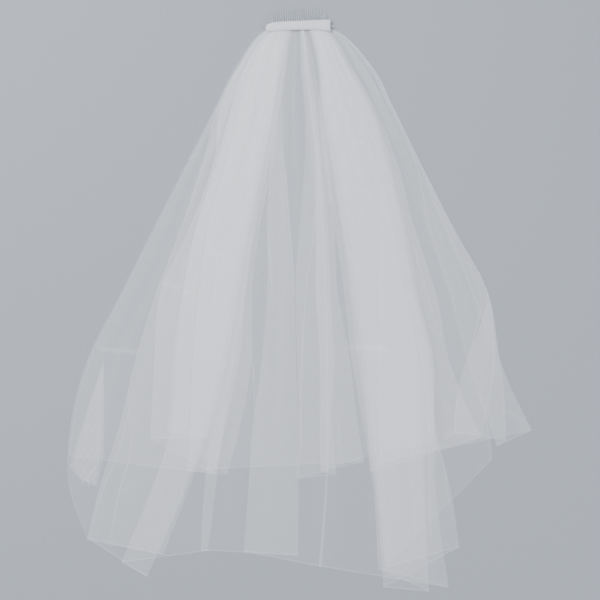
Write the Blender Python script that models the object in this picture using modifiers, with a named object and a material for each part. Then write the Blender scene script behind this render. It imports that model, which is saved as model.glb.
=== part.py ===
"""Bridal veil: two tiers of cut-edge tulle, gathered into a satin band on a comb, laid flat in folds.

Each tier is one continuous sheet. It runs from its left cut edge to its right one, and turns back at
each fold line, so the panels of a pleat lie on each other one level apart. The comb points to +Y and
the hems to -Y. Table values are millimetres from the middle of the band, before the frame is centred.
"""
import math
from collections import namedtuple

import bmesh
import bpy
from mathutils import Vector

MM = 0.001
COLLECTION = "bridal_veil"

# Tulle: one wall for each layer, and the air between two layers
WALL = 1.0
GAP = 0.3
PITCH = WALL + GAP
UPPER_LEVEL = 5             # the first level above every fold of the lower tier
FLANK_LEVEL = 2             # upper tier's left flank, which lies over the turned corner
FLAP_LEVEL = 1              # upper tier's right flap, which lies on the lower tier's single layer

# Where the gathered heads sit in the band: they are pressed together and lifted over its lower wall
HEAD_Y = -3.0
BAND_MOUTH_Y = -12.0
FLOOR_Y = -24.0
LOOSE_Y = -80.0
HEAD_SQUEEZE = 0.42
HEAD_LIFT = 1.35

# Ribbon band
BAND_X = 1.5
BAND_Y = -1.0
BAND_WIDTH = 95.0
BAND_DEPTH = 15.0
BAND_HEIGHT = 9.4
BAND_WALL = 1.0
BAND_TILT_DEG = 2.5
BAND_END_SEGMENTS = 12

# Comb
TEETH = 25
COMB_WIDTH = 81.0
SPINE_DEPTH = 4.5
SPINE_NEAR_Y = 1.0
TOOTH_WIDTH = 1.5
TOOTH_TIP_WIDTH = 0.8
END_TOOTH_WIDTH = 2.6
TOOTH_LENGTH = 22.0
TOOTH_ARCH = 4.0
COMB_THICKNESS = 1.8
COMB_HEIGHT = 4.7

# Rows of the loft, as distances down the cloth
UPPER_ROWS = (HEAD_Y, BAND_MOUTH_Y, FLOOR_Y, -50, LOOSE_Y, -130, -200, -280, -370, -460, -560)
LOWER_ROWS = UPPER_ROWS + (-610,)

# A fold line: the way the sheet turns there, the level of the panel that comes to it, how far right
# of the band's middle it lies at each distance down the cloth, and the end of it on the hem.
Fold = namedtuple("Fold", "name turn level x3 x80 x200 x370 x560 x660 hem_x hem_y")
LOWER_FOLDS = (
    Fold("left_edge", "start", 0, -41.5, -106, -163, -251, -330, -347, -315, -771),
    Fold("left_right_1", "right", 0, -24, -36, -62, -88, -130, -152, -202, -793),
    Fold("left_left_1", "left", 1, -38, -93, -142, -200, -258, -288, -316, -768),
    Fold("left_right_2", "right", 2, -22, -33, -58, -84, -124, -154, -226, -826),
    Fold("left_left_2", "left", 3, -33, -80, -122, -175, -237, -260, -286, -793),
    Fold("strip_right", "right", 0, -14.5, -22, -40, -60, -92, -116, -135, -787),
    Fold("strip_left", "left", 1, -18, -26, -46, -68, -104, -130, -146, -786),
    Fold("centre_right", "right", 0, -3, -8, -12, -7, 0, 1, 0, -794),
    Fold("centre_left", "left", 1, -9, -15, -30, -45, -62, -72, -82, -788),
    Fold("thin_right", "right", 0, 8, 15, 26, 40, 46, 46, 37, -811),
    Fold("thin_left", "left", 1, 4, 11, 21, 34, 40, 40, 31, -810),
    Fold("bunch_right_1", "right", 0, 31, 66, 125, 172, 208, 207, 226, -842),
    Fold("bunch_left_1", "left", 1, 14, 31, 38, 64, 89, 108, 120, -813),
    Fold("bunch_right_2", "right", 2, 28, 60, 108, 150, 180, 187, 196, -848),
    Fold("bunch_left_2", "left", 3, 18, 36, 50, 77, 102, 113, 128, -842),
    Fold("right_edge", "end", 0, 44, 108, 172, 216, 270, None, 291, -650),
)
UPPER_FOLDS = (
    Fold("left_edge", "start", FLANK_LEVEL, -41.5, -103, -161, -249, -328, None, -342, -644),
    Fold("bundle_right_1", "right", 5, -14, -25, -44, -66, -85, None, -124, -672),
    Fold("bundle_left_1", "left", 6, -37, -92, -138, -194, -250, None, -267, -628),
    Fold("bundle_right_2", "right", 7, -17, -28, -48, -75, -99, None, -135, -618),
    Fold("bundle_left_2", "left", 8, -33, -82, -120, -170, -193, None, -197, -603),
    Fold("bundle_right_3", "right", 9, -12, -22, -38, -62, -77, None, -102, -664),
    Fold("bundle_left_3", "left", 10, -29, -66, -105, -140, -155, None, -167, -666),
    Fold("centre_right", "right", 5, 5, 18, 30, 15, 7, None, 6, -676),
    Fold("centre_left", "left", 6, 0.5, 5, 10, -3, -1, None, -2, -677),
    Fold("lobe_right_1", "right", 5, 34, 70, 120, 168, 207, None, 205, -617),
    Fold("lobe_left_1", "left", 6, 14, 31, 39, 66, 89, None, 99, -655),
    Fold("lobe_right_2", "right", 7, 31, 80, 136, 186, 228, None, 246, -615),
    Fold("lobe_left_2", "left", 8, 18, 36, 50, 78, 102, None, 108, -669),
    Fold("lobe_right_3", "right", 9, 36, 88, 145, 196, 247, None, 275, -617),
    Fold("lobe_left_3", "left", 10, 23, 52, 100, 121, 120, None, 122, -650),
    Fold("flap_outer", "right", FLAP_LEVEL, 45.5, 122, 181, 274, 331, None, 351, -606),
    Fold("flap_inner", "left", 2, 41.5, 110, 172, 218, 272, None, 298, -630),
    Fold("right_edge", "end", 3, 44.5, 116, 178, 258, 308, None, 312, -621),
)

# A slope: the panel that leaves fold "after" changes level once it is past the "clear" folds and
# before the fold "reach", over the stated share of that room.
Slope = namedtuple("Slope", "after clear reach share")
LOWER_SLOPES = (
    Slope("left_left_2", ("left_right_1", "left_right_2"), "strip_left", 0.6),
    Slope("strip_left", ("strip_right",), "centre_left", 0.6),
    Slope("centre_left", ("centre_right",), "thin_left", 0.6),
    Slope("thin_left", ("thin_right",), "bunch_left_1", 0.6),
    Slope("bunch_left_2", ("bunch_right_1", "bunch_right_2"), "right_edge", 0.3),
)
UPPER_SLOPES = (
    Slope("left_edge", ("left_edge",), "lower:left_left_1", 1.0),
    Slope("bundle_left_3", ("bundle_right_1", "bundle_right_2", "bundle_right_3"), "centre_left", 0.5),
    Slope("centre_left", ("centre_right",), "lobe_left_1", 0.6),
    Slope("lobe_left_3", ("lobe_right_1", "lobe_right_2", "lobe_right_3"), "flap_inner", 1.0),
)
SLOPE_MARGIN = 2.5
SLOPE_MAX = 30.0

# Corner of the lower tier that is turned over on the left flank
TURNED_CORNER = ((-292, -504), (-311, -560), (-327, -620), (-337, -662), (-326, -692), (-305, -690),
                 (-295, -645))

# Loose end of gathering thread and tulle at the band's right end
THREAD_ROUTE = ((50.4, -1.0, 5.2), (51.6, -0.4, 5.0), (53.0, 0.2, 4.2), (54.6, -0.6, 3.2),
                (54.8, -2.4, 2.4), (53.4, -3.8, 1.8))
THREAD_RADIUS = 0.6


def make_material(name, color, roughness, alpha=1.0):
    """A Principled material with the part's colour."""
    material = bpy.data.materials.new(name)
    material.use_nodes = True
    shader = material.node_tree.nodes["Principled BSDF"]
    shader.inputs["Base Color"].default_value = (*color, 1.0)
    shader.inputs["Roughness"].default_value = roughness
    shader.inputs["Metallic"].default_value = 0.0
    shader.inputs["Alpha"].default_value = alpha
    return material


def add_object(name, data, material, collection, parent):
    """Link a named object with its material under the frame's empty."""
    data.materials.append(material)
    obj = bpy.data.objects.new(name, data)
    collection.objects.link(obj)
    obj.parent = parent
    return obj


def knots(fold):
    """The fold line's stations, as (distance down, distance right) from the band to the hem."""
    stations = [(HEAD_Y, fold.x3), (BAND_MOUTH_Y, fold.x3), (-80, fold.x80), (-200, fold.x200), (-370, fold.x370),
                (-560, fold.x560)]
    if fold.x660 is not None:
        stations.append((-660, fold.x660))
    stations.append((fold.hem_y, fold.hem_x))
    return stations


def fold_x(fold, y):
    """Smooth curve through a fold line's stations, read at distance y."""
    points = knots(fold)
    y = max(min(y, points[0][0]), points[-1][0])
    last = len(points) - 1
    i = next(k for k in range(last) if y >= points[k + 1][0])

    def slope(k):
        a = points[max(k - 1, 0)]
        b = points[min(k + 1, last)]
        return (b[1] - a[1]) / (b[0] - a[0])

    (y0, x0), (y1, x1) = points[i], points[i + 1]
    span = y1 - y0
    t = (y - y0) / span
    return ((2 * t**3 - 3 * t**2 + 1) * x0 + (t**3 - 2 * t**2 + t) * span * slope(i)
            + (3 * t**2 - 2 * t**3) * x1 + (t**3 - t**2) * span * slope(i + 1))


def fold_points(folds, row):
    """Plan position of each fold line on a row: a distance, or a share of the way to the hem."""
    points = []
    for fold in folds:
        y = row
        if isinstance(row, str):
            start, share = {"middle": (LOWER_ROWS[-1], 0.5), "hem": (0.0, 1.0)}[row]
            y = start + (fold.hem_y - start) * share
        points.append(Vector((fold_x(fold, y), y)))
    return points


def squeeze(y):
    """How far the layers are pressed together at distance y, 1 where they lie loose."""
    share = min(max((BAND_MOUTH_Y - y) / (BAND_MOUTH_Y - LOOSE_Y), 0.0), 1.0)
    return HEAD_SQUEEZE + (1.0 - HEAD_SQUEEZE) * share


def level_z(level, y):
    """Underside of a layer at a level and a distance down the cloth."""
    lift = HEAD_LIFT * min(max((y - FLOOR_Y) / (BAND_MOUTH_Y - FLOOR_Y), 0.0), 1.0)
    return lift + PITCH * level * squeeze(y)


def slope_ends(slope, names, points, folds):
    """Where a sloping panel starts and stops changing level, as distances right."""
    clear = max(points[names.index(name)].x for name in slope.clear)
    if slope.reach.startswith("lower:"):
        target = next(f for f in LOWER_FOLDS if f.name == slope.reach.split(":")[1])
        reach = fold_x(target, points[names.index(slope.after)].y)
    else:
        reach = points[names.index(slope.reach)].x
    margin = min(SLOPE_MARGIN, 0.25 * (reach - clear))
    first = clear + margin
    last = first + min(slope.share * (reach - margin - first), SLOPE_MAX)
    return first, last


def section(folds, slopes, row):
    """Pairs of points, on the two faces of the cloth, along one section across a tier."""
    names = [fold.name for fold in folds]
    points = fold_points(folds, row)
    by_fold = {slope.after: slope for slope in slopes}
    pairs = []

    def add(x, y, z_one, z_two, x_two=None):
        pairs.append((Vector((x, y, z_one)), Vector((x if x_two is None else x_two, y, z_two))))

    flipped = False                       # which face is on top: it changes at each fold
    for i, fold in enumerate(folds):
        x, y = points[i]
        wall = WALL * squeeze(y)
        low = level_z(fold.level, y)
        high = level_z(fold.level + 1, y)
        if fold.turn in ("start", "end"):
            faces = (low + wall, low) if flipped else (low, low + wall)
            add(x, y, *faces)
        elif fold.turn == "right":        # the first face is outside
            add(x, y, low, low + wall, x - WALL)
            add(x, y, high + wall, high, x - WALL)
            flipped = True
        else:                             # the second face is outside
            add(x + WALL, y, low + wall, low, x)
            add(x + WALL, y, high, high + wall, x)
            flipped = False
        if fold.name in by_fold:
            level = fold.level if fold.turn == "start" else fold.level + 1
            ends = slope_ends(by_fold[fold.name], names, points, folds)
            for end_x, end_level in zip(ends, (level, folds[i + 1].level)):
                share = (end_x - x) / (points[i + 1].x - x)
                end_y = y + share * (points[i + 1].y - y)
                end_z = level_z(end_level, end_y)
                add(end_x, end_y, end_z, end_z + WALL * squeeze(end_y))
    return pairs


def make_tier(folds, slopes, rows):
    """Loft a tier's sections into one closed sheet."""
    sections = [section(folds, slopes, row) for row in rows]
    bm = bmesh.new()
    grid = [[[bm.verts.new(point * MM) for point in pair] for pair in pairs] for pairs in sections]
    count = len(sections[0])
    for near, far in zip(grid, grid[1:]):
        for i in range(count - 1):
            bm.faces.new((near[i][0], near[i + 1][0], far[i + 1][0], far[i][0]))
            bm.faces.new((near[i][1], far[i][1], far[i + 1][1], near[i + 1][1]))
        for i in (0, count - 1):
            bm.faces.new((near[i][0], far[i][0], far[i][1], near[i][1]))
    for line in (grid[0], grid[-1]):
        for i in range(count - 1):
            bm.faces.new((line[i][0], line[i][1], line[i + 1][1], line[i + 1][0]))
    bmesh.ops.triangulate(bm, faces=bm.faces[:])
    bmesh.ops.recalc_face_normals(bm, faces=bm.faces[:])
    mesh = bpy.data.meshes.new("tier")
    bm.to_mesh(mesh)
    bm.free()
    return mesh


def make_outline(name, points, thickness):
    """A flat closed outline, extruded to a thickness about its own plane."""
    curve = bpy.data.curves.new(name, "CURVE")
    curve.dimensions = "2D"
    curve.fill_mode = "BOTH"
    curve.extrude = thickness / 2 * MM
    spline = curve.splines.new("POLY")
    spline.points.add(len(points) - 1)
    for point, (x, y) in zip(spline.points, points):
        point.co = (x * MM, y * MM, 0.0, 1.0)
    spline.use_cyclic_u = True
    return curve


def comb_outline():
    """Spine and teeth as one outline: each tooth tapers, and the tips stand in a low arch."""
    half = COMB_WIDTH / 2
    root_y = SPINE_NEAR_Y + SPINE_DEPTH
    pitch = (COMB_WIDTH - END_TOOTH_WIDTH) / (TEETH - 1)
    points = [(half, SPINE_NEAR_Y), (-half, SPINE_NEAR_Y)]
    for i in range(TEETH):
        middle = -half + END_TOOTH_WIDTH / 2 + i * pitch
        is_end = i in (0, TEETH - 1)
        root = (END_TOOTH_WIDTH if is_end else TOOTH_WIDTH) / 2
        tip = TOOTH_TIP_WIDTH / 2
        tip_y = root_y + TOOTH_LENGTH + TOOTH_ARCH * (1.0 - (middle / half) ** 2)
        points += [(middle - root, root_y), (middle - tip, tip_y), (middle + tip, tip_y),
                   (middle + root, root_y)]
    return points


def make_band():
    """Flattened ribbon tube, open towards the teeth and towards the tulle."""
    radius = BAND_HEIGHT / 2
    straight = BAND_WIDTH / 2 - radius
    bm = bmesh.new()
    bmesh.ops.create_cone(bm, cap_ends=False, segments=2 * BAND_END_SEGMENTS, radius1=radius * MM,
                          radius2=radius * MM, depth=BAND_DEPTH * MM)
    for vert in bm.verts:                 # the round tube is pulled out along its width
        x, z, y = vert.co
        if abs(x) > 1e-6:
            x += straight * MM * (1 if x > 0 else -1)
        vert.co = (x, y, z)
    bmesh.ops.recalc_face_normals(bm, faces=bm.faces[:])
    mesh = bpy.data.meshes.new("ribbon_band")
    bm.to_mesh(mesh)
    bm.free()
    return mesh


def make_thread():
    """Short curled tail of thread."""
    curve = bpy.data.curves.new("thread_tail", "CURVE")
    curve.dimensions = "3D"
    curve.bevel_depth = THREAD_RADIUS * MM
    curve.bevel_resolution = 2
    curve.use_fill_caps = True
    spline = curve.splines.new("POLY")
    spline.points.add(len(THREAD_ROUTE) - 1)
    for point, place in zip(spline.points, THREAD_ROUTE):
        point.co = (*(Vector(place) * MM), 1.0)
    return curve


def centre_frame(frame, objects):
    """Move the parent so that the whole veil stands on its origin, in the middle of its base."""
    bpy.context.view_layer.update()
    graph = bpy.context.evaluated_depsgraph_get()
    corners = []
    for obj in objects:
        evaluated = obj.evaluated_get(graph)
        mesh = evaluated.to_mesh()
        corners += [evaluated.matrix_world @ vert.co for vert in mesh.vertices]
        evaluated.to_mesh_clear()
    low = Vector(min(point[axis] for point in corners) for axis in range(3))
    high = Vector(max(point[axis] for point in corners) for axis in range(3))
    frame.location = (-(low.x + high.x) / 2, -(low.y + high.y) / 2, -low.z)


def main():
    for obj in list(bpy.data.objects):
        bpy.data.objects.remove(obj, do_unlink=True)
    collection = bpy.data.collections.new(COLLECTION)
    bpy.context.scene.collection.children.link(collection)
    frame = bpy.data.objects.new("veil_frame", None)
    collection.objects.link(frame)
    tilt = math.radians(BAND_TILT_DEG)

    tulle = make_material("tulle", (0.86, 0.87, 0.92), 0.6, 0.5)
    satin = make_material("satin_ribbon", (0.82, 0.83, 0.90), 0.35)
    plastic = make_material("clear_plastic", (0.80, 0.82, 0.84), 0.15, 0.5)
    thread = make_material("thread", (0.85, 0.85, 0.88), 0.7)

    lower = make_tier(LOWER_FOLDS, LOWER_SLOPES, LOWER_ROWS + ("middle", "hem"))
    upper = make_tier(UPPER_FOLDS, UPPER_SLOPES, UPPER_ROWS + ("hem",))
    objects = [add_object("lower_tier", lower, tulle, collection, frame),
               add_object("upper_tier", upper, tulle, collection, frame)]

    corner = add_object("turned_corner", make_outline("turned_corner", TURNED_CORNER, WALL), tulle,
                        collection, frame)
    corner.location = (0.0, 0.0, (PITCH + WALL / 2) * MM)

    comb = add_object("comb", make_outline("comb", comb_outline(), COMB_THICKNESS), plastic,
                      collection, frame)
    comb.location = (BAND_X * MM, BAND_Y * MM, COMB_HEIGHT * MM)
    comb.rotation_euler = (0.0, 0.0, tilt)

    band = add_object("ribbon_band", make_band(), satin, collection, frame)
    band.location = (BAND_X * MM, BAND_Y * MM, BAND_HEIGHT / 2 * MM)
    band.rotation_euler = (0.0, 0.0, tilt)
    wall = band.modifiers.new("wall", "SOLIDIFY")
    wall.thickness = BAND_WALL * MM
    wall.offset = 1.0

    tail = add_object("thread_tail", make_thread(), thread, collection, frame)
    centre_frame(frame, objects + [corner, comb, band, tail])


main()
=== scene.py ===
import math

import bmesh
import bpy
import numpy as np
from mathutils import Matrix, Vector


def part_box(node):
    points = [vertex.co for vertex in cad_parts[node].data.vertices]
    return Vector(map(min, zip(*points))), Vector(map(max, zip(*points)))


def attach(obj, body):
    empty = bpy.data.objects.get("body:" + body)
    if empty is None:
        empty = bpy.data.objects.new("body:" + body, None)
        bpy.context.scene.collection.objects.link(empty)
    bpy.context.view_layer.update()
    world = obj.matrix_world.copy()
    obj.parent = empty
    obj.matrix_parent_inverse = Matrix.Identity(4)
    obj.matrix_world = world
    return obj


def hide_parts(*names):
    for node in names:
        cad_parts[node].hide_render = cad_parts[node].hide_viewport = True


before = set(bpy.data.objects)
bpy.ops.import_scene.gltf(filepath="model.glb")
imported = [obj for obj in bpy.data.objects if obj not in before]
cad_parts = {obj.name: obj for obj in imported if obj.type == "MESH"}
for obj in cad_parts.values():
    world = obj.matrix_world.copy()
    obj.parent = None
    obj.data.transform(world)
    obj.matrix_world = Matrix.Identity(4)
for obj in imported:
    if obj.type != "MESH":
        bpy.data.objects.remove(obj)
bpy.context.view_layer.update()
mm = 0.001

# Tables are in mm from the middle of the ribbon band: to the right, and down towards the hem
bandLow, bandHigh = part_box("ribbon_band")
bandMiddle = ((bandLow[0] + bandHigh[0]) / 2 - 1.5 * mm, (bandLow[1] + bandHigh[1]) / 2 + 1.0 * mm)

tulleCut = {
    "headDown": 4.0,            # mm below the band's middle where the gathered edge is sewn in
    "flareDown": 60.0,          # mm over which the gathers open out of the band
    "flarePower": 0.6,
    "stations": (4, 60, 120, 200, 300, 400, 500, 600, 700),
    "columnStep": 6.0,          # mm between columns of the mesh at its widest
    "rowStep": 6.0,
    "layerPitch": 0.75,         # mm from one layer to the next where they lie loose
    "headPitch": 0.36,          # share of that pitch inside the band
    "spread": 8.0,              # mm over which a layer slopes down from a stack
    "floorGap": 0.4,
    "foldLine": 0.8,            # mm of bright line along a fold
    "foldShoulder": 2.0,        # mm from a fold to the next column of the mesh
    "foldRound": 9.0,           # mm over which two panels round off into their fold
    "hemBand": 0.0025,          # share of a panel's length that the bright cut edge takes
    "gatherReach": 190.0,       # mm below the band at which the gathers have mostly opened
}

# One row for each fold line, in the order in which the sheet runs from its left cut edge to its right.
# across: mm right of the band's middle at each station down the cloth. hem: (across, down) of its end.
lowerFolds = [
    ("leftEdge", (-42, -92, -123, -164, -215, -265, -315, -341, -341), (-315, 771)),
    ("flapRight1", (-20, -28, -39, -54, -72, -90, -110, -133, -166), (-202, 793)),
    ("flapLeft1", (-39, -89, -120, -142, -175, -213, -244, -268, -300), (-316, 768)),
    ("flapRight2", (-22, -30, -42, -58, -78, -96, -114, -138, -171), (-226, 826)),
    ("flapLeft2", (-30, -77, -99, -122, -153, -172, -183, -190, -220), (-265, 804)),
    ("stripRight", (-16, -26, -36, -50, -66, -79, -94, -111, -124), (-135, 787)),
    ("stripLeft", (-18, -28, -39, -54, -75, -93, -111, -129, -141), (-146, 786)),
    ("centreRight", (-10, -18, -24, -21, -12, -6, -3, 0, 1), (0, 794)),
    ("centreLeft", (-15, -26, -36, -42, -45, -46, -54, -68, -75), (-82, 788)),
    ("thinRight", (7, 13, 21, 31, 39, 43, 45, 46, 43), (35, 811)),
    ("thinLeft", (4, 10, 18, 28, 36, 40, 42, 43, 40), (31, 810)),
    ("bunchRight1", (34, 75, 108, 134, 158, 177, 201, 205, 207), (226, 842)),
    ("bunchLeft1", (13, 30, 32, 38, 54, 69, 80, 98, 113), (120, 813)),
    ("bunchRight2", (28, 60, 89, 116, 141, 161, 180, 186, 189), (197, 848)),
    ("bunchLeft2", (17, 33, 37, 50, 66, 82, 95, 105, 116), (128, 842)),
    ("bunchRight3", (36, 78, 111, 138, 162, 180, 203, 206, 230), (242, 781)),
    ("bunchLeft3", (19, 35, 42, 57, 74, 88, 100, 110, 120), (130, 812)),
    ("rightEdge", (42, 98, 132, 174, 195, 227, 254, 285), (291, 650)),
]
upperFolds = [
    ("leftEdge", (-41, -89, -121, -161, -212, -262, -312, -338), (-343, 645)),
    ("bundleRight1", (-11, -21, -29, -43, -63, -78, -87, -108), (-124, 672)),
    ("bundleLeft1", (-38, -87, -116, -126, -162, -207, -216, -221), (-222, 618)),
    ("bundleRight2", (-14, -25, -35, -51, -73, -90, -105, -130), (-135, 618)),
    ("bundleLeft2", (-33, -78, -99, -120, -153, -174, -189, -196), (-197, 604)),
    ("bundleRight3", (-8, -17, -27, -36, -57, -69, -69, -86), (-106, 673)),
    ("bundleLeft3", (-28, -69, -87, -108, -135, -150, -158, -163), (-167, 666)),
    ("centreRight1", (10, 24, 34, 46, 54, 60, 78, 90), (99, 653)),
    ("centreLeft1", (0, 3, 10, 10, 2, -4, -1, 0), (-2, 678)),
    ("centreRight2", (8, 18, 27, 36, 45, 50, 53, 51), (57, 673)),
    ("centreLeft2", (5, 12, 18, 24, 27, 26, 32, 32), (33, 666)),
    ("lobeRight1", (32, 74, 105, 131, 155, 174, 198, 204), (204, 617)),
    ("lobeLeft1", (14, 31, 35, 47, 64, 77, 89, 103), (108, 669)),
    ("lobeRight2", (36, 80, 114, 147, 174, 207, 227, 267), (275, 617)),
    ("lobeLeft2", (24, 58, 88, 118, 123, 120, 120, 120), (120, 655)),
    ("flapOuter", (45, 110, 142, 181, 232, 285, 303, 348), (351, 606)),
    ("flapLeft1", (40, 101, 134, 174, 195, 227, 254, 287), (298, 630)),
    ("flapRight2", (44, 108, 140, 180, 231, 284, 302, 311), (312, 621)),
    ("flapLeft2", (42, 106, 138, 179, 229, 282, 254, 233), (234, 609)),
    ("rightEdge", (43, 107, 139, 180, 230, 284, 294, 277), (275, 616)),
]

# Narrow folds pinched in the net, and the creases of the packing: route in mm, and width in mm
pinFolds = [
    ("upper", 1.6, ((-39, 208), (-46, 300), (-43, 343), (-39, 400), (-40, 420))),
    ("upper", 1.6, ((-25, 170), (-18, 230), (-12, 305), (-6, 400), (-6, 440))),
    ("upper", 1.4, ((30, 208), (24, 305), (12, 396), (9, 440), (6, 560))),
    ("upper", 1.5, ((57, 208), (78, 276), (90, 366), (90, 411))),
    ("upper", 1.3, ((63, 230), (93, 270), (105, 295))),
    ("upper", 1.3, ((114, 290), (106, 321))),
    ("upper", 1.5, ((127, 253), (122, 336), (120, 470), (120, 650))),
    ("upper", 1.4, ((100, 535), (118, 562), (119, 620))),
    ("upper", 1.4, ((60, 590), (65, 651))),
    ("upper", 1.3, ((70, 60), (108, 130), (141, 208), (168, 310), (199, 420), (222, 500))),
    ("upper", 1.3, ((66, 60), (102, 130), (134, 208), (160, 310), (190, 420), (212, 490))),
    ("upper", 1.4, ((183, 224), (213, 284), (246, 359), (273, 429), (292, 478), (303, 497))),
    ("upper", 1.5, ((282, 396), (273, 429), (258, 486), (240, 546), (234, 600))),
    ("upper", 1.2, ((292, 478), (294, 508), (285, 568), (275, 612))),
    ("upper", 1.3, ((303, 497), (309, 568), (312, 618))),
    ("upper", 1.4, ((-87, 441), (-72, 489), (-67, 519), (-82, 583))),
    ("upper", 1.3, ((-67, 501), (-64, 583))),
    ("upper", 1.3, ((-60, 90), (-75, 150), (-96, 230), (-118, 330), (-128, 470), (-140, 600))),
    ("upper", 1.3, ((-48, 90), (-56, 150), (-74, 240), (-98, 340), (-112, 460), (-120, 600))),
    ("lower", 1.4, ((-244, 531), (-256, 591), (-274, 651), (-291, 693), (-310, 753))),
    ("lower", 1.5, ((-240, 573), (-250, 628), (-256, 658), (-267, 696), (-282, 771), (-286, 790))),
    ("lower", 1.4, ((-192, 609), (-202, 651), (-219, 696), (-244, 756), (-262, 798))),
    ("lower", 1.4, ((3, 396), (6, 471), (4, 561), (6, 680))),
    ("lower", 1.4, ((45, 390), (54, 500), (51, 590), (57, 672))),
    ("lower", 1.3, ((200, 561), (205, 622), (217, 651), (224, 700), (238, 760))),
    ("lower", 1.4, ((153, 330), (172, 420), (190, 520), (197, 620), (198, 720), (204, 840))),
    ("lower", 1.3, ((140, 360), (155, 450), (168, 560), (172, 680), (178, 845))),
    ("lower", 1.3, ((117, 520), (124, 640), (132, 740), (140, 842))),
]
packingCreases = [
    ("both", 3.2, ((-309, 478), (-288, 486), (-240, 490))),
    ("both", 2.6, ((-164, 197), (-147, 191))),
    ("upper", 3.6, ((-204, 384), (-185, 392), (-162, 401))),
    ("upper", 3.0, ((-134, 336), (-114, 345))),
    ("upper", 2.6, ((-54, 508), (-32, 545))),
    ("upper", 2.8, ((62, 176), (96, 174))),
    ("both", 3.4, ((76, 484), (105, 481), (132, 485))),
    ("upper", 2.6, ((310, 576), (336, 592))),
    ("lower", 2.6, ((220, 612), (248, 612))),
    ("upper", 2.6, ((222, 616), (232, 608), (247, 614))),
]

tulleLook = {
    "thread": "#f7f7fb",
    "layerOpacity": 0.13,
    "foldOpacity": 0.62,
    "creaseOpacity": 0.3,
    "roughness": 0.6,
    "threadSpacing": 2.6,       # mm, real net is about 1 mm and would not show
    "moireSpacing": 9.0,        # mm, the coarse lattice where two nets cross
    "crumple": 22.0,            # mm
}


# sRGB hex to linear colour
def linearColor(text):
    values = [int(text[i:i + 2], 16) / 255 for i in (1, 3, 5)]
    return tuple(v / 12.92 if v <= 0.04045 else ((v + 0.055) / 1.055) ** 2.4 for v in values) + (1.0,)


# A node with its settings, its fixed inputs and its links
def addNode(tree, kind, settings=None, inputs=None, links=None):
    node = tree.nodes.new(kind)
    for name, value in (settings or {}).items():
        setattr(node, name, value)
    for name, value in (inputs or {}).items():
        node.inputs[name].default_value = value
    for name, socket in (links or {}).items():
        tree.links.new(socket, node.inputs[name])
    return node


def newMaterial(name):
    material = bpy.data.materials.new(name)
    material.use_nodes = True
    return material, material.node_tree, material.node_tree.nodes["Principled BSDF"]


def smoothStep(x):
    x = np.clip(x, 0.0, 1.0)
    return x * x * (3.0 - 2.0 * x)


# Where a fold line lies at any distance down the cloth
def foldAcross(fold, down):
    name, across, hem = fold
    stations = np.array(tulleCut["stations"][:len(across)] + (hem[1],), float)
    values = np.array(across + (hem[0],), float)
    slopes = np.gradient(values, stations)
    down = np.clip(np.asarray(down, float), stations[0], stations[-1])
    i = np.clip(np.searchsorted(stations, down, "right") - 1, 0, len(stations) - 2)
    span = stations[i + 1] - stations[i]
    t = (down - stations[i]) / span
    curve = ((2 * t**3 - 3 * t**2 + 1) * values[i] + (t**3 - 2 * t**2 + t) * span * slopes[i]
             + (3 * t**2 - 2 * t**3) * values[i + 1] + (t**3 - t**2) * span * slopes[i + 1])
    flare = np.clip((down - stations[0]) / (stations[1] - stations[0]), 0, 1) ** tulleCut["flarePower"]
    return np.where(down < stations[1], values[0] + (values[1] - values[0]) * flare, curve)


# How fully a panel lies under a point, 0 to 1
def panelCover(near, far, across, down):
    a, b = foldAcross(near, down), foldAcross(far, down)
    (ax, ay), (bx, by) = near[2], far[2]
    share = np.clip((across - ax) / (bx - ax), 0.0, 1.0)
    hem = ay + (by - ay) * share
    spread = tulleCut["spread"] * (0.25 + 0.75 * smoothStep(down / 150.0))
    return (smoothStep((across - np.minimum(a, b)) / spread + 1.0)
            * smoothStep((np.maximum(a, b) - across) / spread + 1.0)
            * smoothStep((hem - down) / spread + 1.0))


# Layers of cloth below a point, from these panels
def layersBelow(panels, across, down):
    total = np.zeros_like(across)
    for near, far in panels:
        total += panelCover(near, far, across, down)
    return total


# Smooth noise along one line, the same each run
def lineNoise(position, spacing, seed):
    table = np.random.default_rng(seed).uniform(-1.0, 1.0, 4096)
    place = position / spacing + 1000.0
    i = np.floor(place).astype(int)
    t = smoothStep(place - i)
    return table[i % 4096] * (1 - t) + table[(i + 1) % 4096] * t


def routeDistance(across, down, route):
    best = np.full(across.shape, 1e9)
    for (ax, ay), (bx, by) in zip(route, route[1:]):
        dx, dy = bx - ax, by - ay
        t = np.clip(((across - ax) * dx + (down - ay) * dy) / (dx * dx + dy * dy), 0, 1)
        best = np.minimum(best, np.hypot(across - ax - t * dx, down - ay - t * dy))
    return best


# Height of a layer in mm, from the layers below it: pressed together in the band and loose below
def layerHeight(layers, down):
    press = tulleCut["headPitch"] + (1 - tulleCut["headPitch"]) * smoothStep((down - 14) / 110)
    lift = 1.4 * smoothStep((26 - down) / 14)
    return tulleCut["floorGap"] + lift + layers * tulleCut["layerPitch"] * press


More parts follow.
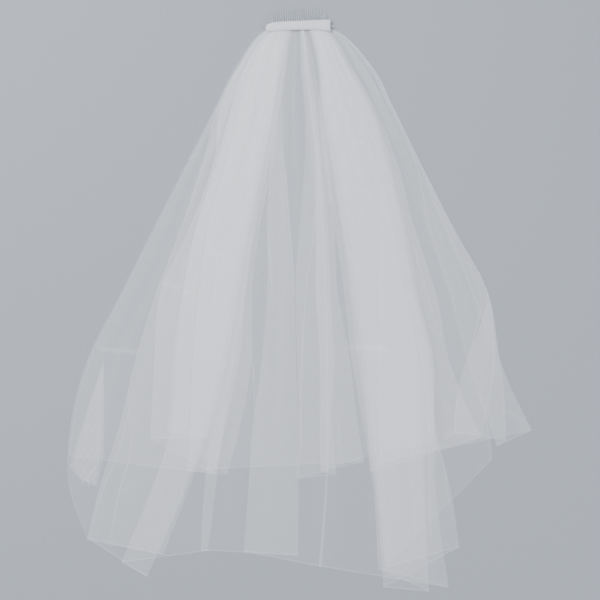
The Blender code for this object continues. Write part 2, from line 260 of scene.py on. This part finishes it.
def gridMesh(name, across, down, height, cloth, density, edge):
    rows, columns = across.shape
    points = np.stack([bandMiddle[0] + across * mm, bandMiddle[1] - down * mm, height * mm], -1)
    index = np.arange(rows * columns).reshape(rows, columns)
    quads = np.stack([index[:-1, :-1], index[1:, :-1], index[1:, 1:], index[:-1, 1:]], -1).reshape(-1, 4)
    mesh = bpy.data.meshes.new(name)
    mesh.from_pydata(points.reshape(-1, 3).tolist(), [], quads.tolist())
    uv = mesh.uv_layers.new(name="cloth")
    corner = cloth.reshape(-1, 2)[quads.reshape(-1)] * mm
    uv.data.foreach_set("uv", corner.astype(np.float32).reshape(-1))
    for label, values in (("netDensity", density), ("foldEdge", edge)):
        attribute = mesh.attributes.new(label, "FLOAT", "POINT")
        attribute.data.foreach_set("value", values.astype(np.float32).reshape(-1))
    mesh.shade_smooth()
    return mesh


# A tier: one sheet that runs across all its fold lines, with its rows drawn out to the hem
def tierGrid(tier, folds, below, seed):
    head = tulleCut["headDown"]
    longest = max(hem[1] for name, across, hem in folds)
    count = int((longest - head) / tulleCut["rowStep"])
    hemBand = tulleCut["hemBand"]
    rowShare = np.concatenate([np.linspace(0, 1, count)[:-1], [1 - hemBand, 1 - 0.0012, 1]])
    lines = []
    for fold in folds:
        down = head + (fold[2][1] - head) * rowShare
        lines.append((foldAcross(fold, down), down))
    panels = list(zip(folds, folds[1:]))
    grids = []
    clothStart = 0.0
    for k, (near, far) in enumerate(panels):
        (ax, ay), (bx, by) = lines[k], lines[k + 1]
        width = max(np.abs(bx - ax).max(), 4.0)
        steps = max(int(width / tulleCut["columnStep"]), 2)
        inner = np.arange(1, steps) / steps
        edgeShares = [0.0, min(tulleCut["foldLine"] / width, 0.1),
                      min(tulleCut["foldShoulder"] / width, 0.2)]
        share = np.array(sorted(set(edgeShares + [1 - s for s in edgeShares]
                                    + [s for s in inner if edgeShares[2] < s < 1 - edgeShares[2]])))
        across = ax[:, None] + (bx - ax)[:, None] * share
        down = ay[:, None] + (by - ay)[:, None] * share
        layers = layersBelow(below + panels[:k], across, down)
        hemWidth = math.hypot(far[2][0] - near[2][0], far[2][1] - near[2][1])
        cloth = np.stack([np.broadcast_to(clothStart + hemWidth * share, across.shape), down], -1)
        clothStart += hemWidth
        fromFold = np.minimum(share, 1 - share) / max(edgeShares[1], 1e-6)
        edge = np.broadcast_to(np.clip(1 - fromFold, 0, 1), across.shape).copy()
        grids.append([across, down, layers, cloth, edge])
    # both panels meet half way at the fold that they share, and round off into it
    for k in range(len(grids) - 1):
        left, right = grids[k], grids[k + 1]
        meet = (left[2][:, -1] + right[2][:, 0]) / 2
        for grid, end in ((left, -1), (right, 0)):
            distance = np.abs(grid[0] - grid[0][:, [end]])
            blend = 1 - smoothStep(distance / tulleCut["foldRound"])
            blend[:, end] = 1.0
            grid[2] = grid[2] * (1 - blend) + meet[:, None] * blend
    parts = [[g[i] if k == 0 else g[i][:, 1:] for k, g in enumerate(grids)] for i in range(5)]
    across, down, layers, cloth, edge = [np.concatenate(p, 1) for p in parts]
    along = cloth[..., 0]
    hemShare = np.clip((rowShare[:, None] - (1 - hemBand)) / hemBand, 0, 1)
    edge = np.maximum(edge, 0.55 * hemShare)
    opening = np.exp(-down / tulleCut["gatherReach"])
    swaying = along + 6 * np.sin(down / 70)
    streak = (0.75 * lineNoise(along, 34.0, seed) + 0.9 * lineNoise(swaying, 15.0, seed + 1)
              + 0.7 * lineNoise(along, 7.0, seed + 2))
    density = 1.0 + streak * (0.12 + 0.85 * opening)
    ripple = (0.55 * lineNoise(along, 26.0, seed + 3) + 0.3 * lineNoise(along, 11.0, seed + 4))
    puff = 3.2 * np.exp(-((down - 52) / 42) ** 2) * (layers / 9.0)
    wave = 0.5 * np.sin(down / 37 + along / 90) * smoothStep((down - 120) / 200)
    loose = (ripple * (0.5 + 1.5 * opening) + wave * 0.5) * smoothStep((down - 12) / 40)
    height = layerHeight(layers, down) + puff + loose
    for where, width, route in packingCreases:
        if where in (tier, "both"):
            distance = routeDistance(across, down, route)
            fade = np.exp(-(distance / (0.55 * width)) ** 2)
            density += 1.0 * fade
            height += 0.6 * fade
    return across, down, np.maximum(height, 0.25), cloth, np.clip(density, 0.25, 4.0), edge


# A pinched fold: a narrow strip of doubled net that stands on the layers below it
def pinGrid(width, route, panels):
    points = np.array(route, float)
    length = np.concatenate([[0], np.cumsum(np.hypot(*np.diff(points, axis=0).T))])
    along = np.linspace(0, length[-1], max(int(length[-1] / 7), 6))
    slopes = [np.gradient(points[:, i], length) for i in (0, 1)]
    i = np.clip(np.searchsorted(length, along, "right") - 1, 0, len(length) - 2)
    span = length[i + 1] - length[i]
    t = (along - length[i]) / span
    line = [(2 * t**3 - 3 * t**2 + 1) * points[i, c] + (t**3 - 2 * t**2 + t) * span * slopes[c][i]
            + (3 * t**2 - 2 * t**3) * points[i + 1, c] + (t**3 - t**2) * span * slopes[c][i + 1]
            for c in (0, 1)]
    taper = np.minimum(1.0, 0.25 + 4.0 * np.minimum(along, length[-1] - along) / length[-1])
    half = (0.5 * width * taper)[:, None]
    side = np.array([-1.0, -0.35, 0.35, 1.0])
    across = line[0][:, None] + half * side
    down = line[1][:, None] + 0 * side
    layers = layersBelow(panels, across, down)
    height = layerHeight(layers + 0.3, down) + np.array([0.0, 0.5, 0.5, 0.0]) * half / 0.8
    cloth = np.stack([across + 0 * down, down], -1)
    edge = np.array([0.0, 0.55, 0.55, 0.0]) * (taper[:, None] ** 2)
    return across, down, height, cloth, 1.0 + 0 * down, edge


def tulleMaterial():
    # nylon tulle: a knitted net, nearly clear in one layer, whiter with each layer, brightest at a fold
    material, tree, shader = newMaterial("nylonTulle")
    look = tulleLook
    shader.inputs["Base Color"].default_value = linearColor(look["thread"])
    shader.inputs["Roughness"].default_value = look["roughness"]
    shader.inputs["IOR"].default_value = 1.53
    shader.inputs["Specular IOR Level"].default_value = 0.25
    shader.inputs["Sheen Weight"].default_value = 0.15
    density = addNode(tree, "ShaderNodeAttribute", {"attribute_name": "netDensity"})
    edge = addNode(tree, "ShaderNodeAttribute", {"attribute_name": "foldEdge"})
    cloth = addNode(tree, "ShaderNodeUVMap", {"uv_map": "cloth"})

    # two sets of threads that cross, as stripes of the given spacing at an angle
    def lattice(spacing, angle, distortion):
        stripes = []
        for sign in (1, -1):
            turned = addNode(tree, "ShaderNodeMapping", {}, {"Rotation": (0, 0, sign * angle)},
                             {"Vector": cloth.outputs["UV"]})
            wave = addNode(tree, "ShaderNodeTexWave", {"wave_profile": "SIN"},
                           {"Scale": 0.314 / (spacing * mm), "Distortion": distortion, "Detail": 1.0,
                            "Detail Scale": 0.6}, {"Vector": turned.outputs["Vector"]})
            stripes.append(wave.outputs["Fac"])
        return addNode(tree, "ShaderNodeMath", {"operation": "MAXIMUM"}, {},
                       {0: stripes[0], 1: stripes[1]}).outputs[0]

    net = addNode(tree, "ShaderNodeMapRange", {}, {"From Min": 0.35, "From Max": 1.0, "To Min": 0.55,
                                                   "To Max": 1.35},
                  {"Value": lattice(look["threadSpacing"], math.radians(32), 0.0)})
    moire = addNode(tree, "ShaderNodeMapRange", {}, {"From Min": 0.2, "From Max": 1.0, "To Min": 0.88,
                                                     "To Max": 1.14},
                    {"Value": lattice(look["moireSpacing"], math.radians(38), 1.6)})
    blotch = addNode(tree, "ShaderNodeTexNoise", {}, {"Scale": 1 / (look["crumple"] * mm), "Detail": 3.0},
                     {"Vector": cloth.outputs["UV"]})
    cloud = addNode(tree, "ShaderNodeMapRange", {}, {"From Min": 0.3, "From Max": 0.7, "To Min": 0.9,
                                                     "To Max": 1.1}, {"Value": blotch.outputs["Fac"]})
    value = density.outputs["Fac"]
    for factor in (net.outputs[0], moire.outputs[0], cloud.outputs[0]):
        product = addNode(tree, "ShaderNodeMath", {"operation": "MULTIPLY"}, {}, {0: value, 1: factor})
        value = product.outputs[0]
    layer = addNode(tree, "ShaderNodeMath", {"operation": "MULTIPLY"}, {1: look["layerOpacity"]}, {0: value})
    line = addNode(tree, "ShaderNodeMath", {"operation": "MULTIPLY_ADD", "use_clamp": True},
                   {1: look["foldOpacity"]}, {0: edge.outputs["Fac"], 2: layer.outputs[0]})
    tree.links.new(line.outputs[0], shader.inputs["Alpha"])
    bump = addNode(tree, "ShaderNodeBump", {}, {"Strength": 0.35, "Distance": 0.6 * mm},
                   {"Height": blotch.outputs["Fac"]})
    tree.links.new(bump.outputs["Normal"], shader.inputs["Normal"])
    return material


def joinGrids(name, grids, material):
    bm = bmesh.new()
    for i, grid in enumerate(grids):
        mesh = gridMesh(f"{name}{i}", *grid)
        bm.from_mesh(mesh)
        bpy.data.meshes.remove(mesh)
    mesh = bpy.data.meshes.new(name)
    bm.to_mesh(mesh)
    bm.free()
    mesh.shade_smooth()
    mesh.materials.append(material)
    piece = bpy.data.objects.new(name, mesh)
    bpy.context.scene.collection.objects.link(piece)
    return piece


print("tulle tiers")
tulle = tulleMaterial()
lowerPanels = list(zip(lowerFolds, lowerFolds[1:]))
upperPanels = list(zip(upperFolds, upperFolds[1:]))
allPanels = lowerPanels + upperPanels
lowerPins = [pinGrid(width, route, lowerPanels) for tier, width, route in pinFolds if tier == "lower"]
upperPins = [pinGrid(width, route, allPanels) for tier, width, route in pinFolds if tier == "upper"]
lowerTier = joinGrids("tulleLowerTier", [tierGrid("lower", lowerFolds, [], 11)] + lowerPins, tulle)
upperTier = joinGrids("tulleUpperTier", [tierGrid("upper", upperFolds, lowerPanels, 31)] + upperPins, tulle)
for piece, node, flat, area in ((lowerTier, "lower_tier", (1.72, 0.83), 1.36),
                                (upperTier, "upper_tier", (2.02, 0.67), 1.31)):
    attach(piece, "root")
    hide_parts(node)
    print(piece.name, len(piece.data.polygons), "faces")

cornerLook = {
    "left": ((-291, 502), (-312, 561), (-330, 621), (-342, 661), (-326, 680)),
    "right": ((-291, 502), (-291, 560), (-291, 610), (-292, 644), (-302, 690)),
    "knot": (-316, 677),
    "rayWidth": 2.2,
    "rays": ((-300, 658), (-339, 673), (-322, 660), (-303, 682), (-330, 690), (-312, 694), (-306, 668)),
}


# The turned-over corner: two thin layers that narrow to a point, crumpled together at the bottom
def cornerGrid(inset, lift):
    t = np.linspace(0, 1, 40)
    steps = np.linspace(0, 1, len(cornerLook["left"]))
    sides = [[np.interp(t, steps, [p[i] for p in cornerLook[side]]) for i in (0, 1)]
             for side in ("left", "right")]
    share = np.array([0, 0.02, 0.05, *np.linspace(0.12, 0.88, 9), 0.95, 0.98, 1])
    share = share * (1 - inset) + inset / 2
    across = sides[0][0][:, None] * (1 - share) + sides[1][0][:, None] * share
    down = sides[0][1][:, None] * (1 - share) + sides[1][1][:, None] * share
    height = layerHeight(layersBelow(allPanels, across, down) + lift, down)
    height = height + 0.5 * lineNoise(across + 0.3 * down, 9.0, 71) + 0.5
    edge = np.where((share <= share[0] + 0.001) | (share >= share[-1] - 0.001), 0.8, 0.0) + 0 * down
    return across, down, np.maximum(height, 0.3), np.stack([across, down], -1), 1.5 + 0 * down, edge


print("turned corner")
cornerRays = [pinGrid(cornerLook["rayWidth"], (cornerLook["knot"], ray), allPanels)
              for ray in cornerLook["rays"]]
corner = joinGrids("tulleTurnedCorner", [cornerGrid(0.0, 0.3), cornerGrid(0.22, 1.1)] + cornerRays, tulle)
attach(corner, "root")
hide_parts("turned_corner")
for piece in (lowerTier, upperTier, corner):
    piece.visible_shadow = False        # light that the fine net scatters fills its own thin shadow

bandLook = {
    # mm across from the middle, and how far the ribbon reaches up and down there
    "outline": ((-48.0, -1.5, -6.5), (-46.5, 1.5, -9.0), (-39, 4.3, -9.3), (-27, 5.8, -7.6), (3, 7.2, -6.4),
                (26, 8.2, -6.4), (46, 9.0, -8.4), (48.6, 8.2, -9.0)),
    "height": 9.2,
    "satin": "#f1f1f8",
    "roughness": 0.38,
    "rings": 90,
    "around": 40,
}


def satinMaterial():
    # satin ribbon: long floats along its length give a soft broad gloss, with faint pulls across it
    material, tree, shader = newMaterial("satinRibbon")
    place = addNode(tree, "ShaderNodeTexCoord")
    weave = addNode(tree, "ShaderNodeTexWave", {"bands_direction": "Y"}, {"Scale": 420.0, "Distortion": 0.6},
                    {"Vector": place.outputs["Object"]})
    pulls = addNode(tree, "ShaderNodeTexNoise", {}, {"Scale": 160.0, "Detail": 3.0},
                    {"Vector": place.outputs["Object"]})
    mix = addNode(tree, "ShaderNodeMath", {"operation": "MULTIPLY_ADD"}, {1: 0.35},
                  {0: weave.outputs["Fac"], 2: pulls.outputs["Fac"]})
    bump = addNode(tree, "ShaderNodeBump", {}, {"Strength": 0.4, "Distance": 0.4 * mm},
                   {"Height": mix.outputs[0]})
    ramp = addNode(tree, "ShaderNodeMapRange", {}, {"To Min": bandLook["roughness"] - 0.06,
                                                    "To Max": bandLook["roughness"] + 0.08},
                   {"Value": pulls.outputs["Fac"]})
    shader.inputs["Base Color"].default_value = linearColor(bandLook["satin"])
    shader.inputs["IOR"].default_value = 1.53
    shader.inputs["Sheen Weight"].default_value = 0.2
    tree.links.new(ramp.outputs[0], shader.inputs["Roughness"])
    tree.links.new(bump.outputs["Normal"], shader.inputs["Normal"])
    return material


def tubeMesh(name, rings, material):
    verts = [point for ring in rings for point in ring]
    n = len(rings[0])
    faces = [(i * n + j, i * n + (j + 1) % n, (i + 1) * n + (j + 1) % n, (i + 1) * n + j)
             for i in range(len(rings) - 1) for j in range(n)]
    faces += [tuple(reversed(range(n))), tuple(range((len(rings) - 1) * n, len(rings) * n))]
    mesh = bpy.data.meshes.new(name)
    mesh.from_pydata(verts, [], faces)
    mesh.shade_smooth()
    mesh.materials.append(material)
    return mesh


print("ribbon band")
table = np.array(bandLook["outline"], float)
acrossBand = np.linspace(table[0, 0], table[-1, 0], bandLook["rings"])
bandRings = []
for i, x in enumerate(acrossBand):
    top, bottom = (np.interp(x, table[:, 0], table[:, c]) for c in (1, 2))
    end = min(1.0, 0.72 + 0.28 * min(x - table[0, 0], table[-1, 0] - x) / 5.0)
    ring = []
    for j in range(bandLook["around"]):
        angle = 2 * math.pi * j / bandLook["around"]
        c, s = math.cos(angle), math.sin(angle)
        y = (top + bottom) / 2 + (top - bottom) / 2 * math.copysign(abs(c) ** 0.6, c)
        z = bandLook["height"] / 2 + (bandLook["height"] / 2 - 0.4) * end * math.copysign(abs(s) ** 0.6, s)
        z += 0.18 * float(lineNoise(np.array(x + 3 * c), 5.0, 91)) * (1 if s > 0 else 0)
        ring.append((bandMiddle[0] + x * mm, bandMiddle[1] + y * mm, z * mm))
    bandRings.append(ring)
band = bpy.data.objects.new("satinBand", tubeMesh("satinBand", bandRings, satinMaterial()))
bpy.context.scene.collection.objects.link(band)
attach(band, "root")
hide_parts("ribbon_band")

combLook = {"teeth": 25, "width": 81.0, "tilt": 2.5, "spineLow": 0.2, "spineHigh": 4.6, "toothTop": 27.0,
            "arch": 3.6, "root": 0.75, "tip": 0.38, "height": 4.7, "plastic": "#f4f7fa"}


def plasticMaterial():
    # clear moulded plastic: light runs through it and shows at its edges, with faint marks of the mould
    material, tree, shader = newMaterial("clearMouldedPlastic")
    marks = addNode(tree, "ShaderNodeTexNoise", {}, {"Scale": 600.0, "Detail": 2.0})
    gloss = addNode(tree, "ShaderNodeMapRange", {}, {"To Min": 0.08, "To Max": 0.22},
                    {"Value": marks.outputs["Fac"]})
    shader.inputs["Base Color"].default_value = linearColor(combLook["plastic"])
    shader.inputs["IOR"].default_value = 1.49
    shader.inputs["Transmission Weight"].default_value = 0.75
    tree.links.new(gloss.outputs[0], shader.inputs["Roughness"])
    return material


# A rounded bar through points (across, up, radius) of the comb, set at the tilt of the band
def combBar(name, points, sides, material):
    turn = math.radians(combLook["tilt"])
    rings = []
    (x0, y0, r0), (x1, y1, r1) = points[0], points[-1]
    along = Vector((x1 - x0, y1 - y0)).normalized()
    for x, y, radius in points:
        ring = []
        for j in range(sides):
            angle = 2 * math.pi * j / sides
            px = x - along.y * radius * math.cos(angle)
            py = y + along.x * radius * math.cos(angle)
            pz = combLook["height"] + min(radius, 0.9) * math.sin(angle)
            ring.append((bandMiddle[0] + (1.5 + px * math.cos(turn) - py * math.sin(turn)) * mm,
                         bandMiddle[1] + (-1.0 + px * math.sin(turn) + py * math.cos(turn)) * mm, pz * mm))
        rings.append(ring)
    return tubeMesh(name, rings, material)


print("comb")
plastic = plasticMaterial()
bm = bmesh.new()
half = combLook["width"] / 2
middle = (combLook["spineLow"] + combLook["spineHigh"]) / 2
depth = (combLook["spineHigh"] - combLook["spineLow"]) / 2
spineEnd = depth * 0.7
bars = [combBar("spine", [(-half, middle, spineEnd), (-half + 1, middle, depth), (half - 1, middle, depth),
                          (half, middle, spineEnd)], 16, plastic)]
for i in range(combLook["teeth"]):
    x = (-half + 0.9) + (combLook["width"] - 1.8) * i / (combLook["teeth"] - 1)
    top = combLook["toothTop"] - combLook["arch"] * (x / half) ** 2
    root = combLook["root"] * (1.5 if i in (0, combLook["teeth"] - 1) else 1.0)
    tip = combLook["tip"]
    bars.append(combBar("tooth", [(x, middle, root), (x, middle + 6, root), (x, top - 6, tip * 1.3),
                                  (x, top - 0.8, tip), (x, top, 0.12)], 12, plastic))
for mesh in bars:
    bm.from_mesh(mesh)
    bpy.data.meshes.remove(mesh)
mesh = bpy.data.meshes.new("plasticComb")
bm.to_mesh(mesh)
bm.free()
mesh.shade_smooth()
mesh.materials.append(plastic)
comb = bpy.data.objects.new("plasticComb", mesh)
bpy.context.scene.collection.objects.link(comb)
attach(comb, "root")
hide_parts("comb")

tailLook = {"strands": 7, "radius": 0.28, "start": (50.2, -0.6, 5.0), "thread": "#f4f4f8"}


def threadMaterial():
    # spun polyester thread: matt, with its twist as a fine ridge
    material, tree, shader = newMaterial("spunThread")
    place = addNode(tree, "ShaderNodeTexCoord")
    twist = addNode(tree, "ShaderNodeTexWave", {}, {"Scale": 900.0}, {"Vector": place.outputs["Object"]})
    bump = addNode(tree, "ShaderNodeBump", {}, {"Strength": 0.3, "Distance": 0.1 * mm},
                   {"Height": twist.outputs["Fac"]})
    shader.inputs["Base Color"].default_value = linearColor(tailLook["thread"])
    shader.inputs["Roughness"].default_value = 0.75
    tree.links.new(bump.outputs["Normal"], shader.inputs["Normal"])
    return material


print("thread tail")
threadLook = threadMaterial()
rng = np.random.default_rng(5)
bm = bmesh.new()
for i in range(tailLook["strands"]):
    reach = (rng.uniform(2.0, 4.6), rng.uniform(-3.2, 2.6), rng.uniform(-3.0, 0.6))
    rings = []
    for t in np.linspace(0, 1, 9):
        radius = tailLook["radius"] * (1 - 0.6 * t)
        cx, cy, cz = (start + reach[c] * t for c, start in enumerate(tailLook["start"]))
        cy += reach[1] * (t * t - t)
        cz += 0.5 * math.sin(5 * t + i)
        rings.append([(bandMiddle[0] + cx * mm, bandMiddle[1] + (cy + radius * math.cos(a)) * mm,
                       (cz + radius * math.sin(a)) * mm) for a in np.linspace(0, 2 * math.pi, 7)[:-1]])
    mesh = tubeMesh("strand", rings, threadLook)
    bm.from_mesh(mesh)
    bpy.data.meshes.remove(mesh)
mesh = bpy.data.meshes.new("threadTail")
bm.to_mesh(mesh)
bm.free()
mesh.shade_smooth()
mesh.materials.append(threadLook)
tail = bpy.data.objects.new("threadTail", mesh)
bpy.context.scene.collection.objects.link(tail)
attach(tail, "root")
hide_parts("thread_tail")

floorLook = {"paper": "#b0b5bd", "size": 6.0, "roughness": 0.9}
studioLook = {"key": 38.0, "fill": 13.0, "sky": 0.8}


def floorMaterial():
    # matt backdrop paper: no gloss, only a faint fibre
    material, tree, shader = newMaterial("backdropPaper")
    fibre = addNode(tree, "ShaderNodeTexNoise", {}, {"Scale": 900.0, "Detail": 2.0})
    shade = addNode(tree, "ShaderNodeMapRange", {}, {"To Min": 0.97, "To Max": 1.03},
                    {"Value": fibre.outputs["Fac"]})
    color = addNode(tree, "ShaderNodeMix", {"data_type": "RGBA", "blend_type": "MULTIPLY"}, {"Factor": 1.0})
    color.inputs[6].default_value = linearColor(floorLook["paper"])
    tree.links.new(shade.outputs[0], color.inputs[7])
    tree.links.new(color.outputs[2], shader.inputs["Base Color"])
    shader.inputs["Roughness"].default_value = floorLook["roughness"]
    shader.inputs["Specular IOR Level"].default_value = 0.1
    return material


print("studio")
bpy.ops.mesh.primitive_plane_add(size=floorLook["size"], location=(0, 0, -0.0002))
floor = bpy.context.object
floor.name = "studioFloor"
floor.data.materials.append(floorMaterial())


def areaLight(name, place, size, power):
    light = bpy.data.lights.new(name, "AREA")
    light.shape = "DISK"
    light.size = size
    light.energy = power
    lamp = bpy.data.objects.new(name, light)
    lamp.location = place
    lamp.rotation_euler = (-Vector(place)).to_track_quat("-Z", "Y").to_euler()
    bpy.context.scene.collection.objects.link(lamp)


areaLight("keyLight", (-1.1, 1.0, 1.9), 0.9, studioLook["key"])
areaLight("fillLight", (1.6, -0.8, 1.7), 1.8, studioLook["fill"])
world = bpy.data.worlds.new("studioSky")
world.use_nodes = True
world.node_tree.nodes["Background"].inputs["Color"].default_value = (0.9, 0.95, 1.0, 1.0)
world.node_tree.nodes["Background"].inputs["Strength"].default_value = studioLook["sky"]
bpy.context.scene.world = world

# the camera looks straight down on the laid veil
cameraSetup = {"height": 2.6, "across": 3.0, "down": 411.0, "field": 900.0}
camera = bpy.data.objects.new("camera", bpy.data.cameras.new("camera"))
camera.location = (bandMiddle[0] + cameraSetup["across"] * mm, bandMiddle[1] - cameraSetup["down"] * mm,
                   cameraSetup["height"])
camera.data.sensor_width = 36.0
camera.data.lens = 36.0 * cameraSetup["height"] / (cameraSetup["field"] * mm)
bpy.context.scene.collection.objects.link(camera)
bpy.context.scene.camera = camera
bpy.context.scene.cycles.transparent_max_bounces = 32       # sheer layers lie up to 14 deep
